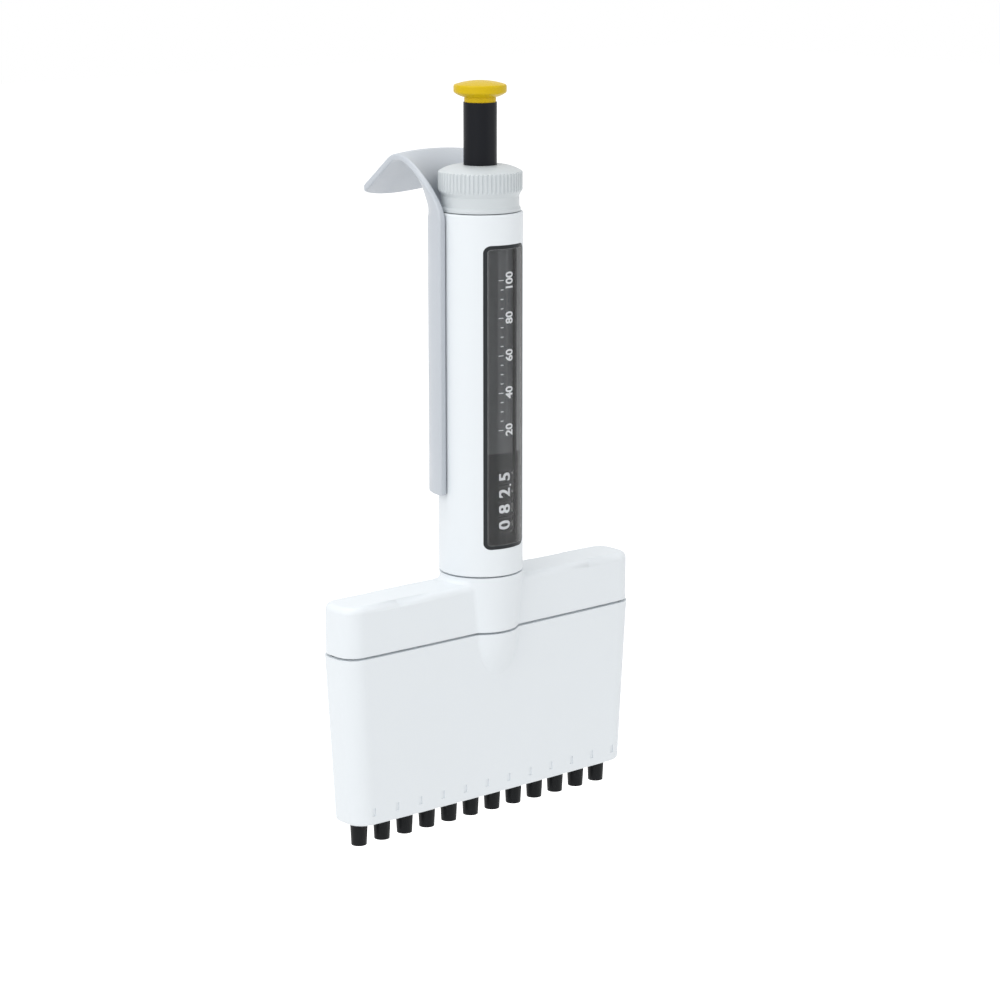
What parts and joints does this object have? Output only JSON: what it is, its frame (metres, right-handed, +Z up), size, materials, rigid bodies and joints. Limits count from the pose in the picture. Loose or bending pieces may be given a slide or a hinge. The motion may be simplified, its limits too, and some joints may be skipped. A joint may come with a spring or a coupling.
{
  "type": "multichannel pipette",
  "caption": "Adjustable-volume manual multichannel pipette with digit counter, fluted volume ring, push button, swivel handle, finger-hook ejector and a row of tip cones.",
  "frame": {"origin": "on the handle's axis, at the middle of the row of tip cones, level with their lower ends", "axes": "+Z up along the handle towards the push button, X along the row of tip cones, +Y towards the back, where the hook is"},
  "size_m": [0.1176, 0.057, 0.232],
  "materials": {
    "housing_white": "satin bluish white moulded plastic",
    "collar_grey": "satin pale grey moulded plastic",
    "hook_grey": "satin light grey moulded plastic",
    "button_yellow": "satin yellow moulded plastic",
    "rod_black": "fine matt black plastic",
    "cone_black": "matt black plastic",
    "window_dark": "gloss smoked clear plastic",
    "label_grey": "matt dark grey printed card",
    "drum_black": "matt black plastic with white digits",
    "inner_plastic": "natural grey technical plastic",
    "steel": "turned stainless steel",
    "seal_rubber": "black rubber"
  },
  "bodies": {
    "manifold": {"manifold_cover": "housing_white", "manifold_block": "inner_plastic", "tip_cones": "cone_black", "piston_seals": "seal_rubber", "seal_retainer": "inner_plastic", "retainer_screws": "steel", "guide_rods": "steel", "guide_rod_screws": "steel", "swivel_spigot": "inner_plastic", "swivel_clip": "steel"},
    "casing": {"ejector_casing": "housing_white", "ejector_yoke": "inner_plastic"},
    "piston_set": {"pistons": "steel", "piston_plate": "inner_plastic", "piston_clamp": "inner_plastic"},
    "handle": {"handle_shell": "housing_white", "display_window": "window_dark", "label_insert": "label_grey", "top_bush": "inner_plastic", "counter_base": "inner_plastic", "counter_sleeve": "inner_plastic", "counter_cap": "inner_plastic", "plunger_spring": "steel", "ejector_springs": "steel"},
    "ejector_key": {"ejector_hook": "hook_grey", "ejector_carriage": "inner_plastic", "ejector_rod": "steel", "ejector_foot": "inner_plastic"},
    "plunger": {"plunger_rod": "rod_black", "transfer_shaft": "steel", "push_button": "button_yellow"},
    "volume_collar": {"volume_ring": "collar_grey", "volume_sleeve": "steel"},
    "hundreds_drum": {"drum_hundreds": "drum_black"},
    "tens_drum": {"drum_tens": "drum_black"},
    "units_drum": {"drum_units": "drum_black"},
    "tenths_drum": {"drum_tenths": "drum_black"}
  },
  "joints": [
    {"name": "handle_swivel", "type": "hinge", "parent": "manifold", "child": "handle", "pos_m": [0, 0, 0.08], "axis": [0, 0, 1], "continuous": true},
    {"name": "plunger_press", "type": "slide", "parent": "handle", "child": "plunger", "axis": [0, 0, -1], "range_m": [0, 0.0162], "stiffness_N_per_m": 400, "springref_m": -0.004, "deforming": ["plunger_spring"]},
    {"name": "piston_slide", "type": "slide", "parent": "manifold", "child": "piston_set", "axis": [0, 0, -1], "range_m": [0, 0.0162]},
    {"name": "ejector_press", "type": "slide", "parent": "handle", "child": "ejector_key", "axis": [0, 0, -1], "range_m": [0, 0.006], "stiffness_N_per_m": 900, "springref_m": -0.003, "deforming": ["ejector_springs"]},
    {"name": "casing_slide", "type": "slide", "parent": "manifold", "child": "casing", "axis": [0, 0, -1], "range_m": [0, 0.006]},
    {"name": "volume_turn", "type": "hinge", "parent": "handle", "child": "volume_collar", "pos_m": [0, 0, 0.1927], "axis": [0, 0, 1], "range_deg": [-5220, 1260]},
    {"name": "tenths_drum_turn", "type": "hinge", "parent": "handle", "child": "tenths_drum", "pos_m": [0, -0.0022, 0], "axis": [0, 0, 1], "range_deg": [-26101, 6301]},
    {"name": "units_drum_turn", "type": "hinge", "parent": "handle", "child": "units_drum", "pos_m": [0, -0.0022, 0], "axis": [0, 0, 1], "range_deg": [-2611, 631]},
    {"name": "tens_drum_turn", "type": "hinge", "parent": "handle", "child": "tens_drum", "pos_m": [0, -0.0022, 0], "axis": [0, 0, 1], "range_deg": [-262, 64]},
    {"name": "hundreds_drum_turn", "type": "hinge", "parent": "handle", "child": "hundreds_drum", "pos_m": [0, -0.0022, 0], "axis": [0, 0, 1], "range_deg": [-27.1, 7.3]}
  ],
  "couplings": [
    {"joint": "piston_slide", "follows": "plunger_press", "ratio": 1},
    {"joint": "casing_slide", "follows": "ejector_press", "ratio": 1},
    {"joint": "tenths_drum_turn", "follows": "volume_turn", "ratio": 5},
    {"joint": "units_drum_turn", "follows": "volume_turn", "ratio": 0.5},
    {"joint": "tens_drum_turn", "follows": "volume_turn", "ratio": 0.05},
    {"joint": "hundreds_drum_turn", "follows": "volume_turn", "ratio": 0.005}
  ]
}
